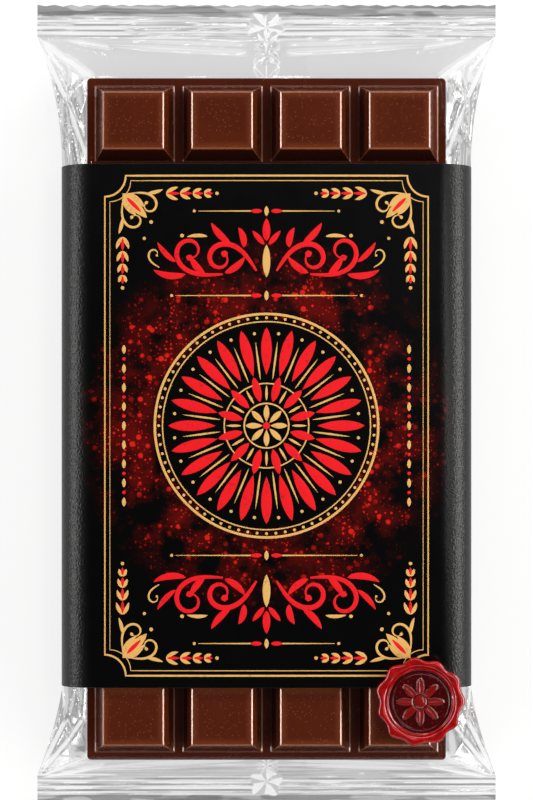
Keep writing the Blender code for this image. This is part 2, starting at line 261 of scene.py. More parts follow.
def chocolate_finish():
    """Satin where the mould was polished, with tiny specks of cocoa butter, and painted light and shade:
    a painted sheen near the top edges, painted highlights on the chamfers, corner ridges and feet,
    and slopes painted darker than the tops, lighter where they face right.
    """
    paint = Paint("dark_chocolate", IOR=1.45, Coat_Roughness=0.08, Coat_IOR=1.6)
    paint.set(Specular_Tint=(1.0, 0.62, 0.42, 1.0))
    clouds = paint.noise(9 * MM, 9 * MM, 9 * MM, detail=2.0)
    brown = paint.mix(clouds, *BROWN)
    polished = paint.z.step(bar_high[2] - 0.7 * MM, bar_high[2] - 0.3 * MM)
    slopes = paint.z.step(plate_top + 0.1 * MM, plate_top + 0.4 * MM)
    (lean_x,) = paint.leaning("X")
    # Painted shade: the slopes are darker than the tops; painted light: the right-facing slopes are lighter
    brown = paint.mix(slopes * (1 - polished), brown, paint.mix(lean_x.step(0.5, 0.8), *SLOPE_SHADE_AND_LIGHT))
    # A painted highlight: a pale line at the foot of each block, strongest where it faces right
    painted_foot_highlight = (1 - slopes) * paint.z.step(plate_top, plate_top + 0.06 * MM)
    brown = paint.mix(painted_foot_highlight * (0.15 + 0.7 * lean_x.step(0.15, 0.5)), brown, FOOT_HIGHLIGHT_BROWN)
    from_side = inside_block(paint.x, bar_low[0], bar_high[0], BLOCK_COLUMNS)
    from_end = inside_block(paint.y, bar_low[1], bar_high[1], BLOCK_ROWS)
    # A painted highlight along the corner ridges between the slopes
    corner = slopes * (1 - polished) * (1 - abs(from_side - from_end).step(0.08 * MM, 0.24 * MM))
    brown = paint.mix(corner * 0.5, brown, EDGE_HIGHLIGHT_BROWN)
    # A painted sheen: the tops are paler near their edges
    inside_top = from_side.smaller(from_end) - BLOCK_TAPER
    painted_sheen_near_edge = polished * (1 - inside_top.step(-0.2 * MM, 1.7 * MM))
    brown = paint.mix(painted_sheen_near_edge * 0.35, brown, PAINTED_SHEEN_BROWN)
    # A painted highlight: an orange band round the chamfer of each top
    wear_and_painted_highlight = paint.z.step(bar_high[2] - 0.30 * MM, bar_high[2] - 0.2 * MM)
    wear_and_painted_highlight = wear_and_painted_highlight * (1 - paint.z.step(bar_high[2] - 0.05 * MM, bar_high[2] - 0.01 * MM))
    brown = paint.mix(wear_and_painted_highlight * 0.8, brown, EDGE_HIGHLIGHT_BROWN)
    distance = paint.cells(SPECK_CELL, SPECK_CELL, SPECK_CELL)
    chance = paint.chance(SPECK_CELL, SPECK_CELL, SPECK_CELL)
    speck = (1 - distance.step(0.12, 0.27)) * chance.step(0.35, 0.9)
    above_slopes = paint.z.step(bar_high[2] - 0.5 * MM, bar_high[2] - 0.1 * MM)
    brown = paint.mix(speck * above_slopes * 0.7, brown, SPECK_BROWN)
    smears = paint.noise(2.6 * MM, 5 * MM, 3 * MM)
    fine = paint.noise(0.35 * MM, 0.35 * MM, 0.35 * MM, detail=2.0)
    last_slope = bar_half - RIM - BLOCK_TAPER
    outer = abs(paint.y - bar_middle).step(last_slope, last_slope + 0.3 * MM)
    paint.set(Base_Color=brown, Roughness=0.20 + 0.12 * smears)
    paint.set(Coat_Weight=0.1 + 0.9 * polished.larger(outer))
    paint.set(Normal=paint.bump(fine + 2 * smears, 0.15, 0.03 * MM))
    return paint.material


plate_reach = (bar_high[0] - WALL_DRAFT, bar_half - WALL_DRAFT)
bpy.ops.mesh.primitive_cube_add(
    size=1,
    location=(0, bar_middle, bar_low[2] + PLATE / 2),
    scale=(2 * plate_reach[0], 2 * plate_reach[1], PLATE),
)
bar = bpy.context.object
bpy.ops.object.transform_apply(location=True, rotation=True, scale=True)
columns = block_spans(bar_low[0], bar_high[0], BLOCK_COLUMNS)
rows = block_spans(bar_low[1], bar_high[1], BLOCK_ROWS)
bpy.ops.object.mode_set(mode="EDIT")
select(bar, "edges", lambda edge: abs(edge.verts[0].co.z - edge.verts[1].co.z) > PLATE / 2)
bpy.ops.mesh.bevel(offset=PLATE_CORNER, segments=4)
for spans, axis in ((columns, Vector((1, 0, 0))), (rows, Vector((0, 1, 0)))):
    for place in [edge for span in spans for edge in span]:
        bpy.ops.mesh.select_all(action="SELECT")
        bpy.ops.mesh.bisect(plane_co=axis * place, plane_no=axis)


def is_block(face):
    """Whether a face of the plate's top is where a block stands."""
    middle = face.calc_center_median()
    across = any(low < middle.x < high for low, high in columns)
    along = any(low < middle.y < high for low, high in rows)
    return face.normal.z > 0.5 and across and along


select(bar, "faces", is_block)
slope = (BLOCK_TAPER - FOOT - CHAMFER, BLOCK_HEIGHT - FOOT_RISE - CHAMFER_RISE)
for inset, rise in ((FOOT, FOOT_RISE), slope, (CHAMFER, CHAMFER_RISE)):
    bpy.ops.mesh.inset(thickness=inset, use_individual=True)
    bpy.ops.transform.translate(value=(0, 0, rise))
select(bar, "verts", lambda vertex: vertex.co.z < bar_low[2] + PLATE / 2)
bpy.ops.transform.resize(
    value=(1 + WALL_DRAFT / plate_reach[0], 1 + WALL_DRAFT / plate_reach[1], 1),
    center_override=(0, bar_middle, bar_low[2]),
)
bpy.ops.object.mode_set(mode="OBJECT")
rounding = bar.modifiers.new("mould_edges", "BEVEL")
rounding.width = MOULD_EDGE
rounding.segments = 2
rounding.limit_method = "ANGLE"
rounding.angle_limit = math.radians(20)
rounding.harden_normals = True
bpy.ops.object.shade_smooth()
apply_modifiers(bar)
fix(bar, "cast_chocolate", chocolate_finish(), "chocolate_bar")


# The clear film
# One sheet of thin clear film, folded round the bar, lapped along the middle of the back and
# pressed flat between ribbed jaws at both ends, where a knife leaves a zigzag edge. Pulled in from
# the wide seals to the narrow bar, it gathers in sharp folds that run out from the four corners.
film_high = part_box("film_wrapper")[1]
END = film_high[1]
CRIMP_START = END - 7.0 * MM
CRIMP_HALF = film_high[0]
RIBS_START = CRIMP_START - 1.0 * MM
CRIMP_RIBBED = 5.3 * MM
CRIMP_RIBS = 4
CRIMP_WALL = 0.22 * MM
CRIMP_Z = 5.2 * MM
RIB_HEIGHT = 0.30 * MM
TEETH = 27
TOOTH = 0.50 * MM
FILM_FRONT = film_high[2]
FILM_BACK = bar_low[2] - 0.6 * MM
SLEEVE_TOP = 53.1 * MM
SLEEVE_BOTTOM = -62.4 * MM
FILM_HALF = 45.7 * MM
SLEEVED_HALF = 44.9 * MM
TOP_FLARE = 2.05
BOTTOM_FLARE = 1.4
FLAT_HALF = 37.5 * MM
BACK_FLAT_HALF = 41.0 * MM
SHEET_COLUMNS = 280
SHEET_ROWS = 172
COARSE_ROWS = 12
SIDE_SHARE = 0.34
BESIDE_BAR = 0.4 * MM
DRAWN_IN = 2.0 * MM
SIDE_ROUNDING = 1.6
FACET = 0.50 * MM
FACET_CELL = (3.3, 15.0)
STREAK = 0.06 * MM
STREAK_CELL = (26.0, 1.0)
PUFF = 0.12 * MM
FILM_GREY = (0.06, 0.06, 0.063, 1)
FILM_HOLDS = (0.014, 0.013, 0.010)


def rise_between(value, low, high):
    """0 below low and 1 above high, with a soft rise between them."""
    share = np.clip((value - low) / (high - low), 0, 1)
    return share * share * (3 - 2 * share)


def tent(distance, half_width):
    """1 on a line, falling straight to 0 on each side of it."""
    return np.clip(1 - np.abs(distance) / half_width, 0, None)


def film_half_width(y):
    """The flat seals are wider than the pack between them, so the sides flare out to them."""
    top = np.clip((y - SLEEVE_TOP) / (CRIMP_START - SLEEVE_TOP), 0, 1) ** TOP_FLARE
    bottom = np.clip((y - SLEEVE_BOTTOM) / (-CRIMP_START - SLEEVE_BOTTOM), 0, 1) ** BOTTOM_FLARE
    inside = np.where((y < SLEEVE_TOP) & (y > SLEEVE_BOTTOM), SLEEVED_HALF, FILM_HALF)
    return inside + (CRIMP_HALF - FILM_HALF) * (top + bottom)


def end_share(y, side):
    """0 over the bar, rising to 1 where the nearer seal starts. In front it leaves the bar sooner."""
    away = -DRAWN_IN if side > 0 else BESIDE_BAR
    high, low = bar_high[1] + away, bar_low[1] - away
    return np.clip(np.maximum((y - high) / (CRIMP_START - high), (low - y) / (low + CRIMP_START)), 0, 1)


def film_base(x, y, side):
    """The film with no creases: flat over the bar, straight down to the seals, rounded at the sides."""
    flat, half_flat = (FILM_FRONT, FLAT_HALF) if side > 0 else (FILM_BACK, BACK_FLAT_HALF)
    meeting = CRIMP_Z + side * CRIMP_WALL / 2
    across = np.clip((np.abs(x) - half_flat) / (film_half_width(y) - half_flat), 0, 1)
    fall = np.maximum(end_share(y, side), across**SIDE_ROUNDING)
    return flat + (meeting - flat) * fall


def fold(x, y, start, end, half_width, rise):
    """A sharp straight fold that fades out at both of its ends."""
    run = (Vector(end) - Vector(start)) * MM
    from_x = x - start[0] * MM
    from_y = y - start[1] * MM
    along = (from_x * run.x + from_y * run.y) / run.length_squared
    across = (from_x * run.y - from_y * run.x) / run.length
    ends = np.clip(np.minimum(along, 1 - along) * 9, 0, 1)
    return rise * MM * ends * tent(across, half_width * MM * (0.35 + 0.65 * ends))


def crumple(x, y, cell, turn, seed):
    """Flat facets between straight creases, from -1 to 1: random heights on a slanted net."""
    heights = np.random.default_rng(seed).uniform(-1, 1, (64, 64))
    across = (x * math.cos(turn) + y * math.sin(turn)) / (cell[0] * MM)
    along = (y * math.cos(turn) - x * math.sin(turn)) / (cell[1] * MM)
    across = across + 0.25 * np.sin(0.9 * along + seed)
    along = along + 0.25 * np.sin(1.1 * across + 2 * seed)
    column = np.floor(across).astype(int)
    row = np.floor(along).astype(int)
    p = across - column
    q = along - row

    def corner(i, j):
        return heights[(column + i) % 64, (row + j) % 64]

    near = corner(0, 0) + (corner(1, 0) - corner(0, 0)) * p + (corner(0, 1) - corner(0, 0)) * q
    far_p = (corner(0, 1) - corner(1, 1)) * (1 - p)
    far_q = (corner(1, 0) - corner(1, 1)) * (1 - q)
    return np.where(p + q > 1, corner(1, 1) + far_p + far_q, near)


# Folds at a corner, each from point to point in millimetres out from the middle of the pack, with
# its half width and its height: most start at the corner of the seal
TOP_FOLDS = (
    ((51.0, 82.2), (43.2, 75.8), 1.25, 0.65),
    ((47.4, 79.4), (38.0, 72.4), 1.50, 0.85),
    ((44.0, 75.8), (43.4, 72.4), 0.60, 0.40),
    ((43.6, 73.4), (44.6, 68.4), 0.60, 0.45),
    ((51.2, 82.2), (44.6, 68.0), 0.90, 0.60),
    ((44.9, 68.8), (40.0, 55.0), 0.90, 0.65),
    ((51.0, 82.0), (45.6, 74.8), 0.70, 0.45),
    ((44.6, 68.6), (40.4, 72.6), 0.45, 0.35),
    ((44.8, 69.0), (44.3, 52.0), 0.55, 0.45),
    ((46.8, 72.4), (45.8, 52.0), 0.50, 0.35),
    ((42.8, 63.6), (45.6, 57.6), 0.50, 0.40),
    ((43.6, 61.0), (41.8, 51.0), 0.60, 0.45),
    ((42.8, 68.0), (40.8, 63.0), 0.45, 0.35),
    ((50.2, 81.6), (40.8, 76.4), 0.80, 0.50),
    ((49.6, 82.0), (33.0, 78.6), 0.80, 0.45),
)
BOTTOM_FOLDS = (
    ((51.2, -82.8), (44.8, -70.0), 0.85, 0.60),
    ((51.0, -82.8), (43.4, -73.6), 0.80, 0.55),
    ((44.2, -74.6), (40.8, -69.6), 0.80, 0.60),
    ((51.0, -83.0), (39.2, -78.2), 0.95, 0.65),
    ((50.6, -83.2), (36.0, -80.6), 0.80, 0.45),
    ((45.0, -70.4), (45.7, -61.0), 0.55, 0.45),
    ((45.0, -70.4), (42.6, -62.0), 0.65, 0.55),
    ((41.2, -70.0), (43.2, -61.6), 0.60, 0.45),
    ((41.2, -70.2), (40.4, -61.0), 0.50, 0.40),
    ((45.0, -70.2), (43.6, -74.6), 0.50, 0.40),
    ((47.6, -76.0), (45.8, -64.0), 0.50, 0.35),
)

# Long clear folds along the seals, given in the same way
SEAL_FOLDS = (
    ((45.4, 81.6), (34.8, 80.0), 0.75, 0.30),
    ((37.0, 80.4), (3.6, 78.8), 0.85, 0.30),
    ((31.0, 81.4), (4.0, 80.6), 0.45, 0.22),
    ((44.0, -81.4), (4.0, -79.6), 0.80, 0.28),
    ((48.0, -82.6), (10.0, -81.4), 0.60, 0.24),
)

# Where the jaws pinch the back seam, up the pack in millimetres, and how far the folds reach
PINCHES = ((84.4, 4.6), (81.2, 3.2), (78.8, 3.4), (-80.6, 3.0), (-84.0, 4.2))

# Where the seam opens like a leaf: its root and tip up the pack, and its half width
UPPER_LEAF = (71.6, 78.4, 2.75)
LOWER_LEAF = (-77.6, -80.6, 1.8)


def corner_folds(x, y, side):
    """The listed folds, on both sides of the pack, a little different on each."""
    total = np.zeros_like(x)
    for folds in (TOP_FOLDS, BOTTOM_FOLDS, SEAL_FOLDS):
        for hand in (-1, 1):
            rng = random.Random(31 * hand + 7 * side + len(folds))
            for start, end, half_width, rise in folds:
                drift = [rng.uniform(-0.2, 0.2) for _ in range(2)]
                shifted = (end[0] + drift[0], end[1] + drift[1])
                total += fold(hand * x, y, start, shifted, half_width, rise * rng.uniform(0.8, 1.15))
    return total


def gather(x, y, side):
    """Long low folds that lie along each seal just inside it."""
    total = np.zeros_like(x)
    rng = random.Random(5 + side)
    for _ in range(7):
        end = rng.choice((-1, 1))
        from_seal = rng.uniform(0.3, 3.4)
        middle = rng.uniform(-36, 36)
        reach = rng.uniform(12, 30)
        place = end * (CRIMP_START / MM - from_seal)
        tilt = rng.uniform(-0.7, 0.7)
        start, stop = (middle - reach, place - tilt), (middle + reach, place + tilt)
        total += fold(x, y, start, stop, rng.uniform(0.5, 1.0), rng.uniform(0.10, 0.22))
    return total


def star(x, y, middle, reach, points, rise, seed):
    """Where the back seam is pinched in a jaw: short wedges that run out from one spot."""
    turn = np.arctan2((y - middle * MM) * 1.2, x)
    distance = np.hypot(x, (y - middle * MM) * 1.2) / (reach * MM)
    wedge = np.abs((turn * points / math.tau + 0.17 * np.sin(3 * turn + seed)) % 1 * 2 - 1)
    return rise * MM * wedge * np.clip(1 - distance, 0, 1) * np.clip(4 * distance, 0, 1)


def seam_leaf(x, y, start, end, half_width):
    """The seam opening out like a leaf between the seal and the bar."""
    share = np.clip((y / MM - start) / (end - start), 0, 1)
    inside = (share > 0) & (share < 1)
    edge = half_width * MM * np.sin(math.pi * share**1.5) ** 0.8
    rim = tent(np.abs(x) - edge, 0.50 * MM) * 0.42
    vein = tent(x, 0.35 * MM) * 0.30
    hollow = -0.25 * np.clip(1 - np.abs(x) / (edge + 0.01 * MM), 0, 1)
    return np.where(inside, (rim + vein + hollow) * MM * np.clip(8 * share * (1 - share), 0, 1), 0)


def film_height(x, y, side):
    """The creased film, in front (side 1) or behind (side -1)."""
    past_seal = np.abs(y) - CRIMP_START
    wander = 0.12 * np.sin(x / (8.7 * MM) + side) + 0.05 * np.sin(x / (3.1 * MM))
    past_jaws = np.abs(y) - RIBS_START
    ribbed = rise_between(past_jaws, 0, 0.3 * MM)
    ribbed *= 1 - rise_between(past_jaws, CRIMP_RIBBED, CRIMP_RIBBED + 0.5 * MM)
    phase = past_jaws / (CRIMP_RIBBED / CRIMP_RIBS) + wander
    ribs = RIB_HEIGHT * (0.5 - 0.5 * np.cos(math.tau * phase)) * ribbed
    sealed = rise_between(past_seal, -0.6 * MM, 0.4 * MM)
    streaks = STREAK * crumple(x, y, STREAK_CELL, 0.015, 3) * sealed

    share = end_share(y, side)
    ending = rise_between(share, 0.0, 0.12)
    beside = rise_between(np.abs(x), FLAT_HALF, FLAT_HALF + 1.6 * MM)
    edge_room = rise_between(film_half_width(y) - np.abs(x), 0, 0.9 * MM)
    inside_sleeve = rise_between(y, SLEEVE_BOTTOM, SLEEVE_BOTTOM + 2 * MM)
    inside_sleeve *= 1 - rise_between(y, SLEEVE_TOP - 2 * MM, SLEEVE_TOP)
    free = np.maximum(ending, beside) * (1 - sealed) * edge_room * (1 - inside_sleeve)
    sides = (beside * (1 - ending) + 0.12 * ending) * (1.0 if side > 0 else 0.5)
    fanned = x * (0.35 + 0.65 / (1 + np.clip(CRIMP_START - np.abs(y), 0, None) / (14 * MM)))
    facets = FACET * crumple(fanned, y, FACET_CELL, 0.10 * side, 11 + side) * sides
    puff = PUFF * np.sin(math.pi * share)
    folds = corner_folds(x, y, side) + gather(x, y, side)
    creases = free * (folds + facets + side * puff)
    relief = ribs + streaks
    for middle, reach in PINCHES:
        away = np.hypot(x, 1.2 * (y - middle * MM)) / (reach * MM)
        relief *= 1 - 0.9 * (1 - rise_between(away, 0.5, 1.1))
        creases += star(x, y, middle, reach, 5, 0.75, middle) * (1 if side > 0 else 0.3)
    if side > 0:
        creases += seam_leaf(x, y, *UPPER_LEAF) + seam_leaf(x, y, *LOWER_LEAF)
    return film_base(x, y, side) + relief + creases


def film_places(u, v):
    """Places on the sheet for a grid from -1 to 1: its lines crowd where the film is creased."""
    sleeved_share = COARSE_ROWS / SHEET_ROWS
    low, high = SLEEVE_BOTTOM + 2.5 * MM, SLEEVE_TOP - 2.5 * MM
    bottom_share = (1 - sleeved_share) * (low + END) / (low + END + END - high)
    y = np.interp((v + 1) / 2, (0, bottom_share, bottom_share + sleeved_share, 1), (-END, low, high, END))
    flat_share = 1 - SIDE_SHARE
    half = film_half_width(y)
    from_middle = np.abs(u) / flat_share
    inner = FLAT_HALF * (0.6 * from_middle + 0.4 * from_middle**3)
    outer = FLAT_HALF + (np.abs(u) - flat_share) / SIDE_SHARE * (half - FLAT_HALF)
    x = np.sign(u) * np.where(np.abs(u) < flat_share, inner, outer)
    pitch = 2 * CRIMP_HALF / TEETH
    uneven = 0.70 + 0.30 * np.sin(x / (5.3 * MM)) * np.sin(x / (2.9 * MM) + 1)
    tooth = TOOTH * uneven * np.abs((x / pitch) % 1 * 2 - 1)
    return x, y - np.sign(y) * tooth * rise_between(np.abs(y), END - 1.6 * MM, END)


def film_sheet(side):
    """One face of the film."""
    bpy.ops.mesh.primitive_grid_add(x_subdivisions=SHEET_COLUMNS, y_subdivisions=SHEET_ROWS, size=2)
    sheet = bpy.context.object
    grid = np.empty(3 * len(sheet.data.vertices))
    sheet.data.vertices.foreach_get("co", grid)
    x, y = film_places(grid[0::3], grid[1::3])
    grid[0::3], grid[1::3], grid[2::3] = x, y, film_height(x, y, side)
    sheet.data.vertices.foreach_set("co", grid)
    if side < 0:
        sheet.data.flip_normals()
    return sheet


def fold_highlight_band(paint, place, start, end, half_width):
    """1 along a straight fold, tapering to its start: a painted highlight, left clear so it shows white."""
    run = (Vector(end) - Vector(start)) * MM
    across = Vector((run.y, -run.x)) / run.length
    begin = (start[0] * MM, start[1] * MM, 0)
    away = paint.node("ShaderNodeVectorMath", {"operation": "SUBTRACT"}, {0: place, 1: begin})

    def dot(line):
        return paint.node("ShaderNodeVectorMath", {"operation": "DOT_PRODUCT"}, {0: away, 1: line}, "Value")

    along = dot((run.x / run.length_squared, run.y / run.length_squared, 0))
    half = (along * 2.6).smaller(1.0) * (half_width * MM)
    return (half - abs(dot((across.x, across.y, 0)))).step(0.0, 0.1 * MM) * (1 - along.step(0.93, 1.0))


def pinch_light_and_shade(paint, middle, reach, points, seed):
    """Round a pinch of the seam: how much of it shows, and its wedges by turns, clear as painted highlights
    and grey as painted shade.
    """
    up = 1.2 * (paint.y - middle * MM)
    turn = paint.y.math("ARCTAN2", up, paint.x)
    away = (paint.x * paint.x + up * up) ** 0.5 / (reach * MM)
    ragged = away + 0.3 * (3 * turn + seed).sine() * (2 * turn).sine()
    wedge = (points * turn + seed).sine() + 0.6 * (2 * points * turn + 3 * away).sine()
    return 1 - ragged.step(0.72, 0.86), wedge.step(-0.25, 0.25)


def leaf_highlight(paint, start, end, half_width):
    """The rim and vein of the leaf that the seam opens into, painted clear as highlights."""
    share = (paint.y - start * MM) / ((end - start) * MM)
    open_share = share.larger(0.0).smaller(1.0)
    edge = (math.pi * open_share**1.5).sine() ** 0.8 * (half_width * MM)
    rim = 1 - abs(abs(paint.x) - edge).step(0.22 * MM, 0.36 * MM)
    vein = 1 - abs(paint.x).step(0.12 * MM, 0.24 * MM)
    return rim.larger(vein) * share.step(0.0, 0.04) * (1 - share.step(0.96, 1.0))


def film_finish(name, strength=1.0):
    """Clear and glossy. Where it is loose, doubled or tilted it holds back more of the light.
    Its facets and rib flanks are painted greyer or clearer by which way they lean, as painted shade
    and light, and fold lines, the leaf's rim and vein and the pinch wedges are painted highlights.

    The strength is lower for a flat strip that lies on the rest of the film.
    """
    paint = Paint(name, IOR=1.9, Specular_IOR_Level=1.0)
    lean_x, lean_y, lean_z = paint.leaning()
    side = abs(paint.x).step(bar_high[0] - 0.7 * MM, bar_high[0] - 0.1 * MM)
    past_bar = abs(paint.y - bar_middle).step(bar_half - 1.9 * MM, bar_half - 1.3 * MM)
    sealed = abs(paint.y).step(RIBS_START - 0.4 * MM, RIBS_START + 0.6 * MM)
    ribs_end = RIBS_START + CRIMP_RIBBED
    plain = abs(paint.y).step(ribs_end - 0.1 * MM, ribs_end + 0.3 * MM)
    wrinkled = paint.noise(11 * MM, 2.4 * MM, 5 * MM, detail=1.0).step(0.46, 0.54)
    facing = paint.node("ShaderNodeLayerWeight", None, {"Blend": 0.3}, "Facing")
    streaks = paint.noise(26 * MM, 0.55 * MM, 5 * MM, detail=3.0)
    # Painted shade and light: facets are greyer or clearer by which way they lean
    facet_painted_shade = (13 * lean_x + 9 * lean_y + 0.6).sine().step(-0.35, 0.45)
    front = lean_z.step(0.0, 0.1)
    # Painted shade: the rib flanks that lean up the pack are greyer
    flank_painted_shade = front * lean_y.step(0.08, 0.34)
    beside = side * (1 - past_bar) * (1 - sealed)
    near_low_seal = (1 - paint.y.step(-80.4 * MM, -79.4 * MM)) * (1 - sealed)
    streaked = streaks.step(0.45, 0.62)
    body = 0.018 + 0.135 * past_bar * (1 - sealed) + beside * (0.16 + 0.30 * facet_painted_shade)
    body = body + sealed * (0.02 + 0.13 * streaked + 0.30 * flank_painted_shade + plain * (0.24 + 0.18 * wrinkled))
    body = body + 0.20 * near_low_seal * (streaked - 0.3)
    body = body + 0.3 * facing**3
    if strength == 1.0:
        place = paint.node("ShaderNodeCombineXYZ", None, {"X": abs(paint.x), "Y": paint.y})
        # Painted highlights: fold lines and the leaf's rim and vein are left clear so they show white
        painted_highlight_share = front * leaf_highlight(paint, *UPPER_LEAF)
        for start, end, half_width, _ in TOP_FOLDS[:7] + BOTTOM_FOLDS[:6] + SEAL_FOLDS[:4]:
            painted_highlight_share = painted_highlight_share.larger(fold_highlight_band(paint, place, start, end, 0.6 * half_width))
        body = body * (1 - 0.92 * painted_highlight_share)
        for number, (middle, reach) in enumerate(PINCHES):
            # Painted light and shade: the wedges round each pinch
            shown, wedge = pinch_light_and_shade(paint, middle, reach, 5 + number % 2, 1.0 + number)
            body = body * (1 - shown) + shown * (0.02 + 0.20 * wedge)
    paint.set(Base_Color=FILM_GREY, Roughness=0.05 + 0.13 * side * (1 - sealed))
    paint.set(Normal=paint.bump(2 * streaks * sealed, 0.3, 0.12 * MM))
    body = body * strength
    tint = [1 - held * strength for held in FILM_HOLDS]
    clear = paint.node("ShaderNodeBsdfTransparent", None, {"Color": (*tint, 1)})
    film = paint.node("ShaderNodeMixShader", None, {0: body, 1: clear, 2: paint.shader.outputs[0]})
    paint.plug(paint.tree.nodes["Material Output"].inputs["Surface"], film)
    return paint.material


back_film = film_sheet(-1)
film = film_sheet(1)
back_film.select_set(True)
bpy.ops.object.join()
bpy.ops.object.mode_set(mode="EDIT")
select(film, "edges", lambda edge: edge.is_boundary)
bpy.ops.mesh.bridge_edge_loops()
bpy.ops.object.mode_set(mode="OBJECT")
bpy.ops.object.shade_smooth_by_angle(angle=math.radians(14))
fix(film, "clear_film", film_finish("clear_film"), "film_wrapper")


# The seam up the back of the film
# Where the sheet's two long edges meet, they are sealed face to face in a narrow strip, which is
# then folded flat against the film's back and caught in the seals at both ends.
SEAM_WIDTH = 9.0 * MM
SEAM_GAP = 0.10 * MM
SEAM_WALL = 0.06 * MM
bpy.ops.mesh.primitive_grid_add(x_subdivisions=6, y_subdivisions=120, size=2)
seam = bpy.context.object
for vertex in seam.data.vertices:
    across = SEAM_WIDTH * (vertex.co.x + 1) / 2
    along = vertex.co.y * (CRIMP_START - 0.3 * MM)
    away = SEAM_GAP + 0.12 * MM * math.sin(along / (2.9 * MM)) ** 2
    back = float(film_base(np.array(across), np.array(along), -1))
    vertex.co = (across, along, back - away)
thickness = seam.modifiers.new("two_layers", "SOLIDIFY")
thickness.thickness = SEAM_WALL
thickness.offset = 0
apply_modifiers(seam)
fix(seam, "film_back_seam", film_finish("film_seam", 0.08))


# The card sleeve
# A band of stout black card with a soft leather grain, printed and then creased and wrapped round
# the film. It bulges a little over the bar, and its two ends are glued in a lap on the back.
sleeve_low, sleeve_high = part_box("card_sleeve")
CARD = 0.5 * MM
BACK_CORNER = 6.0 * MM
SHOULDER = 7.7 * MM
CROWN = 0.4 * MM
LAP_END = -30.0 * MM
LAP_WIDTH = 12.0 * MM
CUT_EDGE = 0.09 * MM
SLEEVE_ARC_STEPS = 14
CROWN_STEPS = 26
MEDALLION_Y = -4.65 * MM
crown_half = sleeve_high[0] - SHOULDER


def crown_height(x):
    """The height of the sleeve's front at a place across it."""
    return sleeve_high[2] - CROWN * (x / crown_half) ** 2


def sleeve_corners(hand):
    """The card's outer face from its back up one side to its front, where hand is the side."""
    corner_x = sleeve_high[0] - BACK_CORNER
    rise = sleeve_high[2] - CROWN - BACK_CORNER
    turns = [math.pi / 2 * k / SLEEVE_ARC_STEPS for k in range(SLEEVE_ARC_STEPS + 1)]
    low = [(corner_x + BACK_CORNER * math.sin(t), BACK_CORNER * (1 - math.cos(t))) for t in turns]
    high = [(crown_half + SHOULDER * math.cos(t), BACK_CORNER + rise * math.sin(t)) for t in turns]
    return [(hand * x, z) for x, z in low + high[1:]]


def sleeve_path():
    """The card's outer face all the way round, from the inner end of its lap to the outer end."""
    over = CARD + 0.02 * MM
    lap = [(LAP_END + LAP_WIDTH, over), (LAP_END - 0.1 * MM, over), (LAP_END - 1.0 * MM, 0)]
    across = [crown_half * (2 * k / CROWN_STEPS - 1) for k in range(1, CROWN_STEPS)]
    front = [(x, crown_height(x)) for x in across]
    return lap + sleeve_corners(-1) + front + sleeve_corners(1)[::-1] + [(LAP_END, 0)]


def card_finish():
    """Soft-touch black, finely grained, with a glow of red sparks printed round the medallion."""
    paint = Paint("black_card", IOR=1.45, Specular_IOR_Level=0.42)
    away = paint.away_from(0, MEDALLION_Y)
    glow = away.step(22 * MM, 28 * MM) * (1 - away.step(27 * MM, 43 * MM))
    glow = glow * paint.z.step(10.6 * MM, 11.6 * MM)
    sparks = 0
    for cell, spread in ((1.15 * MM, 0.30), (2.1 * MM, 0.36), (0.7 * MM, 0.26)):
        distance = paint.cells(cell, cell, 40 * MM)
        chance = paint.chance(cell, cell, 40 * MM)
        sparks = (1 - distance.step(spread * 0.4, spread)) * chance.step(0.3, 0.9) + sparks
    haze = paint.noise(7 * MM, 7 * MM, 40 * MM, detail=4.0).step(0.38, 0.66)
    lit = glow * haze * (0.16 + 2.6 * sparks)
    black = (0.0005, 0.0005, 0.0005, 1)
    paint.set(Base_Color=paint.mix(lit, black, (0.62, 0.012, 0.006, 1)))
    grain = paint.cells(0.9 * MM, 1.1 * MM, 0.9 * MM, feature="DISTANCE_TO_EDGE").step(0.0, 0.3)
    shoulder = abs(paint.x).step(crown_half, crown_half + 4 * MM)
    rubbed = paint.noise(11 * MM, 0.5 * MM, 8 * MM, detail=2.0, distortion=0.6)
    scuffs = rubbed.step(0.66, 0.72)
    paint.set(Roughness=0.20 + 0.15 * shoulder + 0.07 * paint.noise(5 * MM, 5 * MM, 5 * MM))
    paint.set(Normal=paint.bump((grain + 0.5 * scuffs) * (0.12 + shoulder), 0.5, 0.05 * MM))
    return paint.material


path = sleeve_path()
bpy.ops.mesh.primitive_grid_add(x_subdivisions=len(path) - 1, y_subdivisions=1, size=2)
sleeve = bpy.context.object
for vertex in sleeve.data.vertices:
    x, z = path[round((vertex.co.x + 1) / 2 * (len(path) - 1))]
    y = sleeve_low[1] if vertex.co.y < 0 else sleeve_high[1]
    vertex.co = (x, y, z)
thickness = sleeve.modifiers.new("card", "SOLIDIFY")
thickness.thickness = CARD
thickness.offset = -1
thickness.use_even_offset = True
cut = sleeve.modifiers.new("cut_edges", "BEVEL")
cut.width = CUT_EDGE
cut.segments = 2
cut.limit_method = "ANGLE"
cut.angle_limit = math.radians(60)
bpy.ops.object.shade_smooth_by_angle(angle=math.radians(40))
apply_modifiers(sleeve)
fix(sleeve, "printed_card_sleeve", card_finish(), "card_sleeve")


# The printed ornament
# Two inks on the sleeve's front, gold and red, each in strokes that swell and taper: a double frame
# with scrolled corners, a medallion of petals in the middle, and flourishes above and below it.
# From FRAME_X on, its places and lengths are in millimetres, and print_on makes metres of them.
INK = 0.030 * MM
FRAME_X = 35.6
FRAME_TOP = 50.4
FRAME_BOTTOM = -59.7
FRAME_CORNER = 4.6
SPRAY_INSET = 3.9
BEAD_ROW_X = 31.4
BEAD_PITCH = 4.2
LEAF_STEPS = 14
SCROLL_STEPS = 44
SCROLL_TAIL = 0.35
MEDALLION = MEDALLION_Y / MM
PETAL_REACH = 21.6


